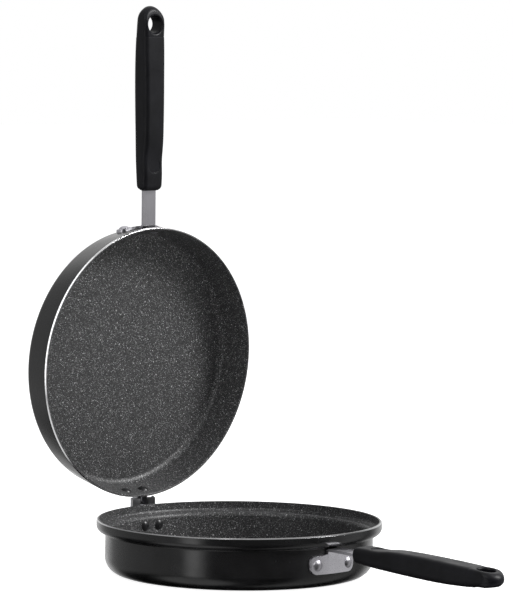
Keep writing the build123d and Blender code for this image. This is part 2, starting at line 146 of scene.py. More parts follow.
class FlipPanGripSizes(bpy.types.PropertyGroup):
    """Sizes of the grips and of their places on the pans."""
    grip_length: length("Grip length", "Length of each grip", 175.5)
    sleeve_length: length("Sleeve length", "Length of the soft sleeve", 145.5)
    tip_radius: length("Tip radius", "Radius of the grip's round tip", 12.8)
    near_round: length("Mating side round", "Edge radius on the side facing the other grip", 4.8)
    far_round: length("Outer side round", "Edge radius on the outer side", 6.0)
    hole_radius: length("Hanging hole", "Radius of the hanging hole", 8.4)
    hole_at: length("Hanging hole place", "Distance of the hole from the pan end", 157.5)
    hole_flare: length("Hole flare", "Radius of the hole's rounded mouth", 2.0)
    thumb_radius: length("Thumb mark", "Radius of the round hollow near the pan end", 7.5)
    thumb_at: length("Thumb mark place", "Distance of the hollow from the pan end", 24.0)
    thumb_depth: length("Thumb mark depth", "Depth of the hollow's deep edge", 1.0)
    core_recess: length("Core recess", "Step from the sleeve down to the bare end", 0.15)


class FlipPanColours(bpy.types.PropertyGroup):
    """Colours of the finishes."""
    enamel: colour("Enamel", "Outside of both pans", (0.009, 0.009, 0.0095))
    coating: colour("Coating", "Non-stick coating inside", (0.050, 0.050, 0.051))
    fleck: colour("Fleck", "Pale flecks in the coating", (0.72, 0.72, 0.73))
    bare_rim: colour("Bare rim", "Turned metal of the rims", (0.86, 0.86, 0.87))
    steel: colour("Bracket steel", "Handle brackets and straps", (0.66, 0.65, 0.69))
    # painted shade: the hinge leaves are darkened, all but their faces along the pin, which take the next
    # colour as painted highlight; that colour is also the pin's own steel
    hinge: colour("Hinge steel", "Dark faces of the hinge leaves", (0.15, 0.15, 0.155))
    hinge_highlight_and_pin: colour("Hinge edge", "Cut edges of the hinge leaves, and the pin", (0.55, 0.55, 0.57))
    sleeve: colour("Sleeve", "Soft sleeve of the grips", (0.0058, 0.0058, 0.0075))
    core: colour("Core", "Moulded end of the grips", (0.0058, 0.0058, 0.0078))
    black_rivet: colour("Black rivets", "Coated rivets of the hinge", (0.014, 0.014, 0.015))


class FlipPanStage(bpy.types.PropertyGroup):
    """Floor, light and camera."""
    floor: colour("Floor", "Pale floor", (0.82, 0.82, 0.82))
    lens: FloatProperty(name="Lens", description="Focal length in millimetres", default=241.885, min=1)
    key_power: FloatProperty(name="Key light", description="Power of the large light", default=110.0, min=0)
    fill_power: FloatProperty(name="Fill light", description="Power of the second light", default=14.0, min=0)


def sizes():
    """The scene's sizes of the pans."""
    return bpy.context.scene.flip_pan_sizes


def grip_sizes():
    """The scene's sizes of the grips."""
    return bpy.context.scene.flip_pan_grips


def colours():
    """The scene's colours."""
    return bpy.context.scene.flip_pan_colours


# ---------------------------------------------------------------- frames
def shut_to_open(points):
    """Points of the shut pan turned open: a turn by minus the open angle about the pin, along Y."""
    x, z = points[..., 0] - PIN_X, points[..., 2] - PIN_Z
    c, s = math.cos(-OPEN_ANGLE), math.sin(-OPEN_ANGLE)
    return np.stack([PIN_X + x * c + z * s, points[..., 1], PIN_Z - x * s + z * c], axis=-1)


def from_upper_rim(points):
    """Rim frame (out, across, depth) to the open upper pan: lift to the seat, then turn open."""
    return shut_to_open(points + np.array([0, 0, sizes().seat_height]))


def from_lower_rim(points):
    """Rim frame (out, across, depth) to the lower pan: depth runs down from the lip's top."""
    return np.stack([points[..., 0], -points[..., 1], sizes().lower_height - points[..., 2]], axis=-1)


# ---------------------------------------------------------------- mesh helpers
def rounded_profile(corners, steps):
    """Open line through (a, b, radius) corners: each corner is cut by an arc tangent to both its sides."""
    points = np.array([c[:2] for c in corners], float)
    line = [points[:1]]
    for before, here, after, (_, _, radius) in zip(points, points[1:], points[2:], corners[1:-1]):
        if radius <= 0:
            line.append(here[None])
            continue
        u, v = (before - here) / np.linalg.norm(before - here), (after - here) / np.linalg.norm(after - here)
        half = math.acos(np.clip(u @ v, -1, 1)) / 2
        middle = here + (u + v) / np.linalg.norm(u + v) * radius / math.sin(half)
        start, end = here + u * radius / math.tan(half) - middle, here + v * radius / math.tan(half) - middle
        sweep = math.atan2(start[0] * end[1] - start[1] * end[0], start @ end)
        turn = np.linspace(0, sweep, steps + 1)[:, None]
        side = np.array([-start[1], start[0]])
        line.append(middle + np.cos(turn) * start + np.sin(turn) * side)
    line.append(points[-1:])
    return np.concatenate(line)


def mesh_from_grid(name, grid, wrap_rows=False, wrap_columns=False, row_slots=None, caps=()):
    """Quads over a grid of points; rows or columns may join up, a slot index per row strip may be given, and
    the rows named in caps are closed with one face each."""
    rows, columns = grid.shape[:2]
    i = np.arange(rows if wrap_rows else rows - 1)[:, None]
    j = np.arange(columns if wrap_columns else columns - 1)[None, :]
    i2, j2 = (i + 1) % rows, (j + 1) % columns
    quads = np.stack([i * columns + j, i2 * columns + j, i2 * columns + j2, i * columns + j2], axis=-1)
    faces = quads.reshape(-1, 4).tolist()
    for row in caps:
        ring = (np.arange(columns) + (row % rows) * columns).tolist()
        faces.append(ring if row == 0 else ring[::-1])
    mesh = bpy.data.meshes.new(name)
    mesh.from_pydata(grid.reshape(-1, 3), [], faces)
    if row_slots is not None:
        index = np.repeat(np.asarray(row_slots), quads.shape[1])
        index = np.append(index, [index[-1]] * len(caps))
        mesh.polygons.foreach_set("material_index", index.astype(np.int32))
    return mesh


def tidy_shell(mesh, crisp):
    """Poles and seams are merged, faces turned outwards and shaded smooth, with crisp edges over an angle in
    degrees."""
    work = bmesh.new()
    work.from_mesh(mesh)
    bmesh.ops.remove_doubles(work, verts=work.verts, dist=MERGE_WITHIN)
    bmesh.ops.dissolve_degenerate(work, edges=work.edges, dist=THINNEST)
    bmesh.ops.recalc_face_normals(work, faces=work.faces)
    work.to_mesh(mesh)
    work.free()
    mesh.polygons.foreach_set("use_smooth", np.ones(len(mesh.polygons), bool))
    mesh.set_sharp_from_angle(angle=math.radians(crisp))


def add_piece(name, mesh, materials, body, nodes, crisp):
    """A finished piece in the scene, riding on its body and standing for its nodes."""
    tidy_shell(mesh, crisp)
    piece = bpy.data.objects.new(name, mesh)
    bpy.context.scene.collection.objects.link(piece)
    for material in materials:
        mesh.materials.append(material)
    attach(piece, body)
    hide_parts(*nodes)
    return piece


def smooth_copy(node, name, material, body, bevel):
    """A merged copy of a node with its edges slightly rounded, by a bevel in millimetres."""
    mesh = frame["nodes"][node].data.copy()
    mesh.name = name
    mesh.materials.clear()
    piece = add_piece(name, mesh, [material], body, [node], METAL_CRISP)
    soften = piece.modifiers.new("edges", "BEVEL")
    soften.width, soften.segments, soften.limit_method = bevel * MM, 2, "ANGLE"
    soften.angle_limit, soften.harden_normals = math.radians(BEVEL_FROM), True
    return piece


# ---------------------------------------------------------------- finishes
MIX_FIRST, MIX_SECOND, MIX_COLOUR = 6, 7, 2         # colour sockets of a Mix node
# flecks of the coating: cells along a metre, size over a cell's, share of the cells, tone
FLECKS = ((1000, 0.31, 0.5, 0.6), (620, 0.24, 0.5, 0.9), (330, 0.18, 0.2, 1.2))
# brushed lines: how fine they are along X, Y and Z; they run along the axis with the small number
UPRIGHT_GRAIN, LEVEL_GRAIN, HINGE_GRAIN = (900, 900, 30), (30, 900, 900), (60, 900, 900)
RIVET_GRAIN, PIN_GRAIN = (400, 400, 400), (500, 500, 500)


class Finish:
    """A node material under construction, on Object coordinates."""

    def __init__(self, name, base, roughness, metallic=0.0):
        self.material = bpy.data.materials.new(name)
        self.material.use_nodes = True
        self.tree = self.material.node_tree
        self.shader = self.tree.nodes["Principled BSDF"]
        self.shader.inputs["Base Color"].default_value = (*base, 1)
        self.shader.inputs["Roughness"].default_value = roughness
        self.shader.inputs["Metallic"].default_value = metallic
        self.place = self.tree.nodes.new("ShaderNodeTexCoord").outputs["Object"]

    def link(self, source, target):
        """A link from one socket to another."""
        self.tree.links.new(source, target)

    def node(self, kind, **values):
        """A new node; each value is an input's, or else an attribute's."""
        made = self.tree.nodes.new(kind)
        for key, value in values.items():
            if key in made.inputs:
                made.inputs[key].default_value = value
            else:
                setattr(made, key, value)
        return made

    def stretched(self, scale, turn=(0, 0, 0)):
        """Object coordinates scaled per axis, for brushed or turned lines."""
        mapping = self.node("ShaderNodeMapping")
        mapping.inputs["Scale"].default_value = scale
        mapping.inputs["Rotation"].default_value = turn
        self.link(self.place, mapping.inputs["Vector"])
        return mapping.outputs["Vector"]

    def noise(self, scale, detail, place=None, roughness=0.5):
        """Noise of a scale per metre, on Object coordinates if no other place is given."""
        made = self.node("ShaderNodeTexNoise", Scale=scale, Detail=detail, Roughness=roughness)
        self.link(place or self.place, made.inputs["Vector"])
        return made.outputs["Fac"]

    def spread(self, value, low, high, from_low=0.3, from_high=0.7):
        """A value mapped from one range to another."""
        made = self.node("ShaderNodeMapRange")
        for key, number in (("From Min", from_low), ("From Max", from_high),
                            ("To Min", low), ("To Max", high)):
            made.inputs[key].default_value = number
        self.link(value, made.inputs["Value"])
        return made.outputs["Result"]

    def blend(self, amount, first, second):
        """Mix of two colours; either may be a socket."""
        made = self.node("ShaderNodeMix", data_type="RGBA")
        self.link(amount, made.inputs["Factor"])
        for socket, value in ((made.inputs[MIX_FIRST], first), (made.inputs[MIX_SECOND], second)):
            if isinstance(value, bpy.types.NodeSocket):
                self.link(value, socket)
            else:
                socket.default_value = (*value, 1)
        return made.outputs[MIX_COLOUR]

    def bump(self, height, distance, strength, after=None):
        """Relief of the surface, over the relief of another bump if one is given."""
        made = self.node("ShaderNodeBump", Strength=strength, Distance=distance)
        self.link(height, made.inputs["Height"])
        if after is not None:
            self.link(after, made.inputs["Normal"])
        self.link(made.outputs["Normal"], self.shader.inputs["Normal"])
        return made.outputs["Normal"]

    def set(self, **values):
        """Plain values for the shader's inputs."""
        for key, value in values.items():
            self.shader.inputs[key.replace("_", " ")].default_value = value

    def roughness_from(self, socket):
        self.link(socket, self.shader.inputs["Roughness"])

    def colour_from(self, socket):
        self.link(socket, self.shader.inputs["Base Color"])


def toned(base, tone):
    """A colour times a tone, kept within 1."""
    return tuple(min(1.0, channel * tone) for channel in base)


def enamel_finish(name):
    """Baked black enamel: gloss with faint orange peel and a slightly uneven sheen."""
    base = tuple(colours().enamel)
    made = Finish(name, base, 0.22)
    cloud = made.spread(made.noise(38, 3), 0, 1)
    made.colour_from(made.blend(cloud, toned(base, 0.7), toned(base, 1.5)))
    made.roughness_from(made.spread(made.noise(60, 4), 0.19, 0.28))
    made.bump(made.noise(240, 2), 0.03 * MM, 0.1)
    return made.material


def fleck_layer(made, place, scale, size, share):
    """Mask of small round flecks: the nearest cell's distance is under a size, in a share of the cells."""
    cells = made.node("ShaderNodeTexVoronoi", Scale=scale, Randomness=1.0)
    made.link(place, cells.inputs["Vector"])
    dot = made.spread(cells.outputs["Distance"], 1, 0, size * 0.7, size)
    split = made.node("ShaderNodeSeparateColor")
    made.link(cells.outputs["Color"], split.inputs["Color"])
    chosen = made.node("ShaderNodeMath", operation="LESS_THAN")
    made.link(split.outputs["Red"], chosen.inputs[0])
    chosen.inputs[1].default_value = share
    both = made.node("ShaderNodeMath", operation="MULTIPLY")
    made.link(dot, both.inputs[0])
    made.link(chosen.outputs["Value"], both.inputs[1])
    return both.outputs["Value"]


def coating_finish(name):
    """Non-stick coating: mottled dark ground, pale flecks of three sizes, and a satin pebbled skin."""
    ground, fleck = tuple(colours().coating), tuple(colours().fleck)
    made = Finish(name, ground, 0.46)
    place = made.stretched((1, 1, 1), COATING_TURN)
    cloud = made.spread(made.noise(900, 4, place, 0.7), 0, 1, 0.38, 0.62)
    tint = made.blend(cloud, toned(ground, 0.2), toned(ground, 1.7))
    for scale, size, share, tone in FLECKS:
        tint = made.blend(fleck_layer(made, place, scale, size, share), tint, toned(fleck, tone))
    made.colour_from(tint)
    made.roughness_from(made.spread(made.noise(300, 3, place), 0.4, 0.54))
    skin = made.bump(made.noise(1500, 2, place), 0.05 * MM, 0.5)
    made.bump(made.noise(140, 2, place), 0.2 * MM, 0.12, after=skin)
    return made.material


def turned_rim_finish(name, tone=1.0):
    """Turned bare metal: bright, with very fine lines; a tone under 1 darkens it as painted shade."""
    base = toned(tuple(colours().bare_rim), tone)
    made = Finish(name, base, 0.24, 1.0)
    made.colour_from(made.blend(made.spread(made.noise(220, 3), 0, 1), toned(base, 0.85), base))
    made.roughness_from(made.spread(made.noise(900, 2), 0.12, 0.22))
    made.bump(made.noise(2600, 1), 0.01 * MM, 0.12)
    return made.material


def brushed_steel_finish(name, base, grain, low=0.24, high=0.4):
    """Brushed metal: fine scratches with a grain, worn in tone, with a roughness from low to high."""
    made = Finish(name, base, 0.3, 1.0)
    lines = made.noise(1.0, 4, made.stretched(grain), 0.6)
    cloud = made.noise(45, 3)
    made.colour_from(made.blend(made.spread(cloud, 0, 1), toned(base, 0.86), toned(base, 1.08)))
    made.roughness_from(made.spread(lines, low, high))
    made.bump(lines, 0.02 * MM, 0.5)
    made.set(Anisotropic=0.3)
    return made.material


def black_metal_finish(name, base, roughness):
    """Coated metal with a soft skin and small tone changes."""
    made = Finish(name, base, roughness)
    cloud = made.spread(made.noise(160, 3), 0, 1)
    made.colour_from(made.blend(cloud, toned(base, 0.75), toned(base, 1.6)))
    made.roughness_from(made.spread(made.noise(420, 2), roughness - 0.06, roughness + 0.08))
    made.bump(made.noise(1800, 2), 0.03 * MM, 0.4)
    return made.material


def grip_finish(name, base, low, high, grain):
    """Moulded black grip: fine spark grain, a little handling shine and faint dust tone."""
    made = Finish(name, base, (low + high) / 2)
    cloud = made.spread(made.noise(55, 4), 0, 1)
    made.colour_from(made.blend(cloud, toned(base, 0.8), toned(base, 1.7)))
    made.roughness_from(made.spread(made.noise(85, 3), low, high))
    skin = made.bump(made.noise(2400, 2), 0.03 * MM, grain)
    made.bump(made.noise(500, 2), 0.04 * MM, grain * 0.4, after=skin)
    made.set(Specular_IOR_Level=0.22)
    return made.material


# ---------------------------------------------------------------- pans
def ring_surface(name, profile, place, slots):
    """Profile of (radius, height) swept round the axis: a point is radius times (cos, sin) of the turn,
    at its height, then moved by `place`."""
    turn = np.linspace(0, 2 * np.pi, RING_STEPS, endpoint=False)
    radius, height = profile[:, 0][:, None], profile[:, 1][:, None]
    grid = np.stack([radius * np.cos(turn), radius * np.sin(turn), height + 0 * turn], axis=-1)
    return mesh_from_grid(name, place(grid), wrap_columns=True, row_slots=slots)


def lower_profile():
    """Section of the lower pan from the base's centre, up the outside, over the lip and down inside,
    with the material slot of each strip: 0 outside, 1 bare rim, 2 coating."""
    s = sizes()
    lip_in, inner = s.lip_radius - s.lower_wall, s.lower_radius - s.lower_wall
    shoulder = s.lip_radius - s.lower_radius - s.crease - LEDGE_FLAT
    under = s.lower_height - s.lip_band - shoulder
    edge, fine = s.lip_chamfer, FINE_ROUND
    bare_end = s.lip_radius - edge - LEDGE_FLAT
    outside = [(0, 0, 0), (s.lower_radius, 0, s.lower_corner), (s.lower_radius, under, s.crease),
               (s.lip_radius, under, shoulder), (s.lip_radius, s.lower_height - edge, fine),
               (s.lip_radius - edge, s.lower_height, fine), (bare_end, s.lower_height, 0),
               (lip_in, s.lower_height, fine * 2),
               (lip_in, under + s.lower_wall, shoulder - s.lower_wall),
               (inner, under + s.lower_wall, s.crease + s.lower_wall),
               (inner, s.lower_base, s.lower_corner - s.lower_base), (0, s.lower_base, 0)]
    line = rounded_profile(outside, ARC_STEPS)
    middle = (line[1:] + line[:-1]) / 2
    inside = (np.arange(len(middle)) > np.argmax(line[:, 1])) & (middle[:, 0] < lip_in + INSIDE_SLACK)
    rim = (middle[:, 1] > s.lower_height - edge + RIM_SLACK) & (middle[:, 0] > bare_end)
    return line, np.where(rim, 1, np.where(inside, 2, 0))


def upper_profile():
    """Section of the upper pan in its rim frame, from the base's centre outside to its centre inside,
    with the material slot of each strip, as for the lower pan."""
    s = sizes()
    slope = math.tan(s.upper_draft)
    inside = s.upper_radius - s.upper_wall * math.hypot(1, slope)
    depth, floor = s.upper_depth, s.upper_depth - s.upper_wall
    bevel, land, bare = s.rim_bevel, s.rim_land, BARE_RIM_SHARE * s.rim_land
    corners = [(0, depth, 0), (s.upper_radius - slope * depth, depth, s.upper_corner),
               (s.upper_radius - slope * bevel, bevel, RIM_ROUND), (s.upper_radius - land, 0, RIM_ROUND),
               (s.upper_radius - bare, 0, 0), (inside, 0, s.mouth_round),
               (inside - slope * floor, floor, s.upper_corner - s.upper_wall), (0, floor, 0)]
    line = rounded_profile(corners, ARC_STEPS)
    middle = (line[1:] + line[:-1]) / 2
    after = np.arange(len(middle)) > np.argmin(line[:, 1])
    rim = (middle[:, 1] < bevel) & (middle[:, 0] > s.upper_radius - bare)
    return line, np.where(rim, 1, np.where(after, 2, 0))


class FLIPPAN_OT_lower_pan(bpy.types.Operator):
    """Make the deep lower pan with its lip."""
    bl_idname = "flip_pan.lower_pan"
    bl_label = "Lower pan"

    def execute(self, context):
        line, slots = lower_profile()
        mesh = ring_surface("lower_pan_shell", line, lambda grid: grid, slots)
        # the lower rim takes painted shade: the same turned metal, darkened
        finishes = [enamel_finish("lower_enamel"), turned_rim_finish("lower_rim", LOWER_RIM_PAINTED_SHADE),
                    coating_finish("lower_coating")]
        add_piece("lower_pan_shell", mesh, finishes, "lower_pan", ["lower_pan_body"],
                  PAN_CRISP)
        return {"FINISHED"}


class FLIPPAN_OT_upper_pan(bpy.types.Operator):
    """Make the shallow upper pan, standing open."""
    bl_idname = "flip_pan.upper_pan"
    bl_label = "Upper pan"

    def execute(self, context):
        line, slots = upper_profile()
        mesh = ring_surface("upper_pan_shell", line, from_upper_rim, slots)
        finishes = [enamel_finish("upper_enamel"), turned_rim_finish("upper_rim"),
                    coating_finish("upper_coating")]
        add_piece("upper_pan_shell", mesh, finishes, "upper_pan", ["upper_pan_body"],
                  PAN_CRISP)
        return {"FINISHED"}


# ---------------------------------------------------------------- grips
# percent of the grip's length from its pan end, then millimetres from the grip's middle line
HALF_WIDTHS = ((0, 12.1), (15.5, 12.4), (33.3, 12.2), (57.5, 12.4), (78.7, 12.9), (92.7, 12.8),
               (100, 12.8))
NEAR_OFFSETS = ((0, 7.5), (8, 8.1), (16.1, 7.8), (26.4, 9.6), (42.5, 10.3), (63.2, 10.0), (81.6, 9.1),
                (92, 8.2), (100, 5.6))
FAR_OFFSETS = ((0, 6.9), (8, 7.8), (16.1, 8.6), (26.4, 9.3), (42.5, 10.1), (63.2, 10.3), (81.6, 8.8),
               (92, 7.4), (100, 5.2))
# a grip's start from the pan's axis, its strap's depth, slope in degrees, and the pan's radius; the others
# in millimetres
UPPER_PLACE = (163.7, 11.4, 3.43, 130.0)
LOWER_PLACE = (160.6, 14.2, 1.42, 125.0)


def flowing(table, at):
    """Smooth line through a table of (percent along, millimetres): a cubic between stations, whose slope
    at each station is the mean of its two sides'."""
    share, value = np.array(table, float).T
    along, value = share / 100 * grip_sizes().grip_length, value * MM
    slope = np.gradient(value, along)
    k = np.clip(np.searchsorted(along, at, side="right") - 1, 0, len(along) - 2)
    step = along[k + 1] - along[k]
    t = np.clip((at - along[k]) / step, 0, 1)
    return ((2 * t**3 - 3 * t**2 + 1) * value[k] + (t**3 - 2 * t**2 + t) * step * slope[k]
            + (3 * t**2 - 2 * t**3) * value[k + 1] + (t**3 - t**2) * step * slope[k + 1])


def along_grip(points, place):
    """Grip frame (along, across, outwards) to a pan's rim frame, tilted by the strap's slope."""
    start, depth, tilt, radius = place
    turn = math.radians(tilt)
    middle = (depth + math.tan(turn) * (start - radius)) * MM
    u, y, w = points[..., 0], points[..., 1], points[..., 2]
    return np.stack([start * MM + u * math.cos(turn) - w * math.sin(turn), y,
                     middle + u * math.sin(turn) + w * math.cos(turn)], axis=-1)


def sleeve_grid():
    """Soft sleeve: at each distance a rectangle with its corners rounded, two small on the mating side and
    two large on the outer side; the pan end is drawn in on a quarter circle, and the round thumb mark is
    sunk by a slope that starts deep and ends level."""
    g = grip_sizes()
    ends, lip = SLEEVE_END_ROUND, SLEEVE_LIP_ROUND
    turn = np.linspace(0, np.pi / 2, QUARTER_STEPS)
    body = np.linspace(ends, g.sleeve_length - lip, SLEEVE_ROWS)[1:]
    along = np.concatenate([ends * (1 - np.cos(turn)), body,
                            g.sleeve_length - lip * (1 - np.sin(turn[1::2]))])
    pull = np.concatenate([ends * (1 - np.sin(turn)), 0 * body, lip * (1 - np.cos(turn[1::2]))])
    half = flowing(HALF_WIDTHS, along) - pull
    near, far = flowing(NEAR_OFFSETS, along) - pull, flowing(FAR_OFFSETS, along) - pull
    small = np.minimum(g.near_round, NEAR_ROUND_LIMIT * (near + far))
    large = np.minimum(g.far_round, FAR_ROUND_LIMIT * (near + far))
    arc = np.linspace(0, np.pi / 2, SLEEVE_CORNER_POINTS)
    flat = np.linspace(0, 1, SLEEVE_FACE_POINTS)[1:-1]
    side = np.linspace(0, 1, SLEEVE_SIDE_POINTS)[1:-1]
    corners = []
    for sign_y, sign_w, round_, edge, first in (
            (1, -1, small, near, -np.pi / 2), (1, 1, large, far, 0),
            (-1, 1, large, far, np.pi / 2), (-1, -1, small, near, np.pi)):
        angle = first + arc
        y = (sign_y * (half - round_))[:, None] + round_[:, None] * np.cos(angle)
        w = (sign_w * (edge - round_))[:, None] + round_[:, None] * np.sin(angle)
        corners.append(np.stack([y, w], axis=-1))
    loop = []
    for k, corner in enumerate(corners):
        ahead = corners[(k + 1) % 4]
        mix = (side if k % 2 == 0 else flat)[None, :, None]
        loop += [corner, corner[:, -1:] * (1 - mix) + ahead[:, :1] * mix]
    section = np.concatenate(loop, axis=1)
    y, w = section[..., 0], section[..., 1]
    u = along[:, None] + 0 * y
    away = np.hypot(u - g.thumb_at, y)
    sunk = np.clip((g.thumb_radius - away) / THUMB_EDGE, 0, 1)
    slope = 0.5 - 0.5 * (u - g.thumb_at) / g.thumb_radius
    w = w + g.thumb_depth * sunk * np.clip(slope, 0, 1) * (w < -MATING_FACE * near[:, None])
    return np.stack([u, y, w], axis=-1)


def grip_end_grid():
    """Moulded end with the hanging hole: rays leave the hole's axis, and on each ray a closed loop runs out
    along the mating face, back along the outer face and through the hole. Both faces fall away round the
    outline by a quarter circle of the distance to it, and round the hole by a quarter circle of its mouth."""
    g = grip_sizes()
    ray = np.linspace(0, 2 * np.pi, HOLE_RAYS, endpoint=False)
    c, s = np.cos(ray), np.sin(ray)
    tip = g.tip_radius - g.core_recess
    centre = g.grip_length - g.tip_radius - TIP_SETBACK
    ahead = centre - g.hole_at
    front = ahead * c + np.sqrt(np.maximum(tip**2 - (ahead * s) ** 2, 0))
    back = (g.hole_at - HIDDEN_END) / np.maximum(-c, 1e-6)
    sides = tip / np.maximum(np.abs(s), 1e-6)
    for _ in range(4):      # a ray's length and the grip's width at its end settle on each other
        reach_u = g.hole_at + np.minimum(sides, back) * c
        sides = (flowing(HALF_WIDTHS, reach_u) - g.core_recess) / np.maximum(np.abs(s), 1e-6)
    reach = np.where(c * tip > np.abs(s) * ahead, front, np.minimum(sides, back))[:, None]
    q = np.linspace(0, 1, FACE_STEPS)[None, :]
    turn = np.linspace(0, np.pi / 2, QUARTER_STEPS)[None, :]
    inner = g.hole_radius + g.hole_flare
    face = inner + (reach - inner) * (1 - (1 - q) ** 2)
    through = inner - g.hole_flare * np.sin(turn) + 0 * reach
    fall = g.hole_flare * (1 - np.cos(turn)) + 0 * reach
    grids = []
    for distance, drop, mating in ((face, 0, True), (face[:, ::-1], 0, False), (through, fall, False),
                                   (through[:, ::-1], fall[:, ::-1], True)):
        u, y = g.hole_at + distance * c[:, None], distance * s[:, None]
        near = flowing(NEAR_OFFSETS, u) - g.core_recess
        far = flowing(FAR_OFFSETS, u) - g.core_recess
        edge = np.where(u > centre, tip - np.hypot(u - centre, y),
                        flowing(HALF_WIDTHS, u) - g.core_recess - np.abs(y))
        crisper = CRISPER_SIDES * np.clip((u - g.sleeve_length) / (g.hole_at - g.sleeve_length), 0, 1)
        crisper -= SOFTER_TIP * np.clip((u - centre) / (TIP_REACH * tip), 0, 1)
        curve = g.near_round - crisper
        if not mating:
            curve = np.minimum(g.far_round, near + far - curve - OUTER_SLACK)
        short = np.clip(curve - edge, 0, curve)
        sink = drop + curve - np.sqrt(np.maximum(curve**2 - short**2, 0))
        grids.append(np.stack([u, y, sink - near if mating else far - sink], axis=-1))
    return np.concatenate(grids, axis=1)


class FLIPPAN_OT_grips(bpy.types.Operator):
    """Make both grips: soft sleeve and moulded end with the hanging hole."""
    bl_idname = "flip_pan.grips"
    bl_label = "Grips"

    def execute(self, context):
        soft = grip_finish("grip_soft", tuple(colours().sleeve), 0.4, 0.54, 0.6)
        hard = grip_finish("grip_hard", tuple(colours().core), 0.34, 0.46, 0.3)
        sleeve, end = sleeve_grid(), grip_end_grid()
        for pan, place, to_pan in (("upper", UPPER_PLACE, from_upper_rim),
                                   ("lower", LOWER_PLACE, from_lower_rim)):
            body = f"{pan}_pan"
            mesh = mesh_from_grid(f"{pan}_soft_grip", to_pan(along_grip(sleeve, place)),
                                  wrap_columns=True, caps=(0, -1))
            add_piece(f"{pan}_soft_grip", mesh, [soft], body, [f"{pan}_grip_sleeve"],
                      GRIP_CRISP)
            mesh = mesh_from_grid(f"{pan}_grip_end", to_pan(along_grip(end, place)), wrap_rows=True,
                                  wrap_columns=True)
            add_piece(f"{pan}_grip_end", mesh, [hard], body, [f"{pan}_grip_core"],
                      GRIP_CRISP)
        return {"FINISHED"}


# ---------------------------------------------------------------- metalwork
def pin_facing_highlight(piece, material):
    """Faces that look along the hinge's pin take a second material: brighter steel as painted highlight,
    against painted shade on the leaf's other faces.
    """
    mesh = piece.data
    normals = np.empty(3 * len(mesh.polygons), np.float32)
    mesh.polygons.foreach_get("normal", normals)
    # faces along the pin get the painted highlight
    cut = np.abs(normals[1::3]) > PAINTED_HIGHLIGHT_FACING
    mesh.materials.append(material)
    mesh.polygons.foreach_set("material_index", cut.astype(np.int32))


class FLIPPAN_OT_brackets(bpy.types.Operator):
    """Dress the handle brackets, their rivets and the tang pins."""
    bl_idname = "flip_pan.brackets"
    bl_label = "Handle brackets"

    def execute(self, context):
        steel = tuple(colours().steel)
        # one steel in two copies: darker on the upper bracket as painted shade, lighter on the lower bracket
        # as painted light
        upright = brushed_steel_finish("upper_bracket_steel_painted_shade", toned(steel, UPPER_BRACKET_PAINTED_SHADE),
                                       UPRIGHT_GRAIN)
        level = brushed_steel_finish("lower_bracket_steel_painted_light", toned(steel, LOWER_BRACKET_PAINTED_LIGHT),
                                     LEVEL_GRAIN)
        head = brushed_steel_finish("rivet_steel", toned(steel, RIVET_TONE), RIVET_GRAIN, 0.3, 0.44)
        for pan, sheet in (("upper", upright), ("lower", level)):
            body = f"{pan}_pan"
            smooth_copy(f"{pan}_handle_bracket", f"{pan}_bracket", sheet, body, 0.25)
            smooth_copy(f"{pan}_bracket_rivets", f"{pan}_rivet_heads", head, body, 0.12)
            smooth_copy(f"{pan}_tang_pin", f"{pan}_cross_pin", head, body, 0.1)
        return {"FINISHED"}


class FLIPPAN_OT_hinge(bpy.types.Operator):
    """Dress the hinge leaves, their rivets and the pin."""
    bl_idname = "flip_pan.hinge"
    bl_label = "Hinge"

    def execute(self, context):
        dark, bright = tuple(colours().hinge), tuple(colours().hinge_highlight_and_pin)
        # painted shade on the leaves' faces, painted highlight on their faces along the pin
        sheet = brushed_steel_finish("hinge_sheet_painted_shade", dark, HINGE_GRAIN, 0.26, 0.42)
        pin = brushed_steel_finish("hinge_pin_steel", bright, PIN_GRAIN, 0.18, 0.3)
        black = black_metal_finish("hinge_rivet_black", tuple(colours().black_rivet), 0.3)
        bare = brushed_steel_finish("hinge_painted_highlight", bright, RIVET_GRAIN, 0.26, 0.4)
        for pan in ("upper", "lower"):
            body, rivets = f"{pan}_pan", f"{pan}_hinge_rivet_heads"
            leaf = smooth_copy(f"hinge_{pan}_bracket", f"{pan}_hinge_leaf", sheet, body, 0.2)
            pin_facing_highlight(leaf, bare)
            smooth_copy(f"hinge_{pan}_rivets", rivets, black, body, 0.12)
        smooth_copy("hinge_pin", "hinge_pin_bar", pin, "lower_pan", 0.12)
        return {"FINISHED"}


# ---------------------------------------------------------------- stage
# light banks seen in reflections: azimuth, half angle at full strength, half angle where it ends, strength,
# and whether it reaches below the table's level
STUDIO_BANKS = ((137, 22, 52, 1.0, False), (-142, 36, 58, 0.42, False), (-82, 3, 10, 2.1, False),
                (48, 14, 42, 0.45, True), (93, 12, 36, 0.12, False), (-20, 40, 70, 0.09, False))
# patches: half angle at full strength, half angle where it ends, strength
STUDIO_TOP = (30, 62, 0.6)
STUDIO_HORIZON = (105, 126, 1.0)                # round straight up: dims the banks below the table's level
STUDIO_TABLE_WAY = (-0.054, -0.613, -0.788)     # a bright stretch of table in front and below
STUDIO_TABLE = (16, 32, 0.8)
SOFT_LEVEL = 0.22                               # world's brightness for diffuse light
WHITE = (1, 1, 1, 1)
SOFT_TINT = (0.95, 0.97, 1, 1)
FLOOR_REACH = 9                                 # half width of the floor, in metres
FLOOR_DROP = 0.4 * MM                           # floor under the base, clear of its faces
FLOOR_GLOW = 0.93                               # brings the lit floor up to white where it is seen
LIGHT_AIM = (-0.04, 0.0, 0.15)
KEY_PLACE, KEY_SIZE = (2.1, 1.8, 2.4), (1.5, 1.2)
FRONT_PLACE, FRONT_SIZE = (1.2, -2.6, 2.0), (1.6, 1.2)
CAMERA_PLACE = (2.733903, -2.542798, 0.549669)
CAMERA_RIGHT = (0.682986, 0.730336, 0.011818)
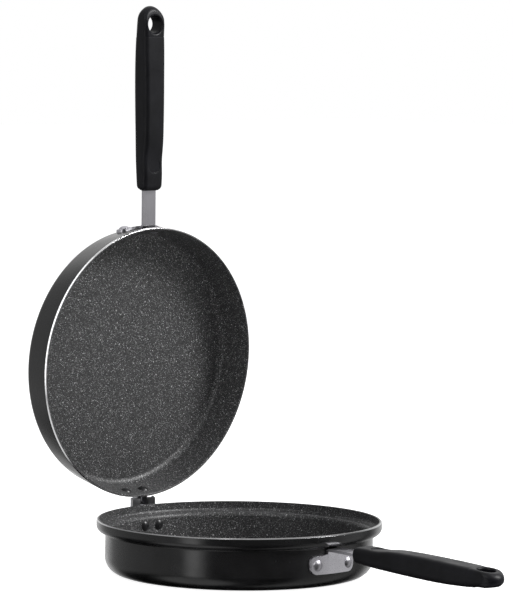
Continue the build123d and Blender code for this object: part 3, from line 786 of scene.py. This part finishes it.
CAMERA_UP = (-0.065368, 0.045000, 0.996846)
CAMERA_BACK = (0.727501, -0.681604, 0.078475)


def area_light(name, place, aim, size, power):
    """Soft rectangular lamp at a place, turned to face a point."""
    data = bpy.data.lights.new(name, "AREA")
    data.shape, data.size, data.size_y, data.energy = "RECTANGLE", *size, power
    lamp = bpy.data.objects.new(name, data)
    bpy.context.scene.collection.objects.link(lamp)
    lamp.location = place
    direction = np.array(aim, float) - np.array(place, float)
    lamp.rotation_euler = Vector(direction).to_track_quat("-Z", "Y").to_euler()


def studio_glow(tree, direction):
    """Brightness of the studio in a direction, for reflections: a bank is a soft-edged patch of azimuths, the
    top and the table are patches of directions, and the brightest wins."""
    level = tree.nodes.new("ShaderNodeVectorMath")
    level.operation = "MULTIPLY"
    level.inputs[1].default_value = (1, 1, 0)
    tree.links.new(direction, level.inputs[0])
    flat = tree.nodes.new("ShaderNodeVectorMath")
    flat.operation = "NORMALIZE"
    tree.links.new(level.outputs[0], flat.inputs[0])
    above = patch(tree, direction, (0, 0, 1), *STUDIO_HORIZON)
    glow = patch(tree, direction, (0, 0, 1), *STUDIO_TOP)
    for azimuth, full, none, strength, low in STUDIO_BANKS:
        way = math.radians(azimuth)
        bank = patch(tree, flat.outputs[0], (math.cos(way), math.sin(way), 0), full, none, strength)
        glow = combined(tree, "MAXIMUM", glow, bank if low else combined(tree, "MULTIPLY", bank, above))
    return combined(tree, "MAXIMUM", glow, patch(tree, direction, STUDIO_TABLE_WAY, *STUDIO_TABLE))


def patch(tree, direction, middle, full, none, strength):
    """Soft-edged patch: full strength within one angle of its middle, nothing past another."""
    near = tree.nodes.new("ShaderNodeVectorMath")
    near.operation = "DOT_PRODUCT"
    near.inputs[1].default_value = middle
    tree.links.new(direction, near.inputs[0])
    fade = tree.nodes.new("ShaderNodeMapRange")
    fade.interpolation_type = "SMOOTHSTEP"
    fade.inputs["From Min"].default_value = math.cos(math.radians(none))
    fade.inputs["From Max"].default_value = math.cos(math.radians(full))
    fade.inputs["To Max"].default_value = strength
    tree.links.new(near.outputs["Value"], fade.inputs["Value"])
    return fade.outputs["Result"]


def combined(tree, operation, first, second):
    """Two values put together by a Math node."""
    both = tree.nodes.new("ShaderNodeMath")
    both.operation = operation
    tree.links.new(first, both.inputs[0])
    tree.links.new(second, both.inputs[1])
    return both.outputs[0]


def studio_world(tree):
    """Soft grey for diffuse light, the light banks for reflections, and plain white where it is seen."""
    soft, banks = tree.nodes["Background"], tree.nodes.new("ShaderNodeBackground")
    white = tree.nodes.new("ShaderNodeBackground")
    soft.inputs["Color"].default_value = SOFT_TINT
    soft.inputs["Strength"].default_value = SOFT_LEVEL
    white.inputs["Color"].default_value = WHITE
    way = tree.nodes.new("ShaderNodeTexCoord").outputs["Generated"]
    tree.links.new(studio_glow(tree, way), banks.inputs["Strength"])
    banks.inputs["Color"].default_value = WHITE
    path = tree.nodes.new("ShaderNodeLightPath")
    last = soft.outputs[0]
    for ray, background in (("Is Glossy Ray", banks), ("Is Camera Ray", white),
                            ("Is Transmission Ray", white)):
        mix = tree.nodes.new("ShaderNodeMixShader")
        tree.links.new(path.outputs[ray], mix.inputs[0])
        tree.links.new(last, mix.inputs[1])
        tree.links.new(background.outputs[0], mix.inputs[2])
        last = mix.outputs[0]
    tree.links.new(last, tree.nodes["World Output"].inputs["Surface"])


def pale_floor_finish(base, glow_level):
    """Matt pale floor that glows to white where it is seen directly and still takes a shadow."""
    material = bpy.data.materials.new("pale_floor")
    material.use_nodes = True
    tree = material.node_tree
    shader = tree.nodes["Principled BSDF"]
    shader.inputs["Base Color"].default_value = (*base, 1)
    shader.inputs["Roughness"].default_value = 0.9
    shader.inputs["Specular IOR Level"].default_value = 0.1
    shader.inputs["Emission Color"].default_value = WHITE
    path = tree.nodes.new("ShaderNodeLightPath")
    glow = tree.nodes.new("ShaderNodeMath")
    glow.operation = "MULTIPLY"
    glow.inputs[1].default_value = glow_level
    tree.links.new(path.outputs["Is Camera Ray"], glow.inputs[0])
    tree.links.new(glow.outputs[0], shader.inputs["Emission Strength"])
    return material


class FLIPPAN_OT_stage(bpy.types.Operator):
    """Make the floor, the lights and the camera."""
    bl_idname = "flip_pan.stage"
    bl_label = "Stage"

    def execute(self, context):
        stage = context.scene.flip_pan_stage
        world = bpy.data.worlds.new("studio")
        context.scene.world = world
        world.use_nodes = True
        studio_world(world.node_tree)

        reach = np.linspace(-FLOOR_REACH, FLOOR_REACH, 3)
        x, y = np.meshgrid(reach, reach, indexing="ij")
        mesh = mesh_from_grid("floor", np.stack([x, y, 0 * x - FLOOR_DROP], axis=-1))
        floor = bpy.data.objects.new("floor", mesh)
        context.scene.collection.objects.link(floor)
        mesh.materials.append(pale_floor_finish(stage.floor, FLOOR_GLOW))
        floor.visible_glossy = False

        area_light("key", KEY_PLACE, LIGHT_AIM, KEY_SIZE, stage.key_power)
        area_light("front", FRONT_PLACE, LIGHT_AIM, FRONT_SIZE, stage.fill_power)

        data = bpy.data.cameras.new("camera")
        data.sensor_fit, data.sensor_width, data.lens = "AUTO", 36, stage.lens
        data.clip_start, data.clip_end = 0.05, 60
        camera = bpy.data.objects.new("camera", data)
        context.scene.collection.objects.link(camera)
        turn = Matrix([CAMERA_RIGHT, CAMERA_UP, CAMERA_BACK]).transposed().to_4x4()
        camera.matrix_world = Matrix.Translation(CAMERA_PLACE) @ turn
        context.scene.camera = camera
        context.scene.view_settings.view_transform = "Standard"
        return {"FINISHED"}


# ---------------------------------------------------------------- panel and start
class FLIPPAN_PT_panel(bpy.types.Panel):
    """Sidebar panel with the settings and one button for each group of pieces."""
    bl_idname = "FLIPPAN_PT_panel"
    bl_label = "Flip pan"
    bl_space_type = "VIEW_3D"
    bl_region_type = "UI"
    bl_category = "Flip pan"

    def draw(self, context):
        column = self.layout.column()
        for made in OPERATORS:
            column.operator(made.bl_idname)
        for group in ("flip_pan_sizes", "flip_pan_grips", "flip_pan_colours", "flip_pan_stage"):
            values = getattr(context.scene, group)
            box = self.layout.box()
            for key in values.__annotations__:
                box.prop(values, key)


GROUPS = {"flip_pan_sizes": FlipPanSizes, "flip_pan_grips": FlipPanGripSizes,
          "flip_pan_colours": FlipPanColours, "flip_pan_stage": FlipPanStage}
OPERATORS = (FLIPPAN_OT_stage, FLIPPAN_OT_lower_pan, FLIPPAN_OT_upper_pan, FLIPPAN_OT_grips,
             FLIPPAN_OT_brackets, FLIPPAN_OT_hinge)


def register():
    for made in (*GROUPS.values(), *OPERATORS, FLIPPAN_PT_panel):
        bpy.utils.register_class(made)
    for name, made in GROUPS.items():
        setattr(bpy.types.Scene, name, PointerProperty(type=made))


def unregister():
    for name in GROUPS:
        delattr(bpy.types.Scene, name)
    for made in reversed((*GROUPS.values(), *OPERATORS, FLIPPAN_PT_panel)):
        bpy.utils.unregister_class(made)


def main():
    register()
    for made in OPERATORS:
        family, name = made.bl_idname.split(".")
        getattr(getattr(bpy.ops, family), name)()


if __name__ == "__main__":
    main()
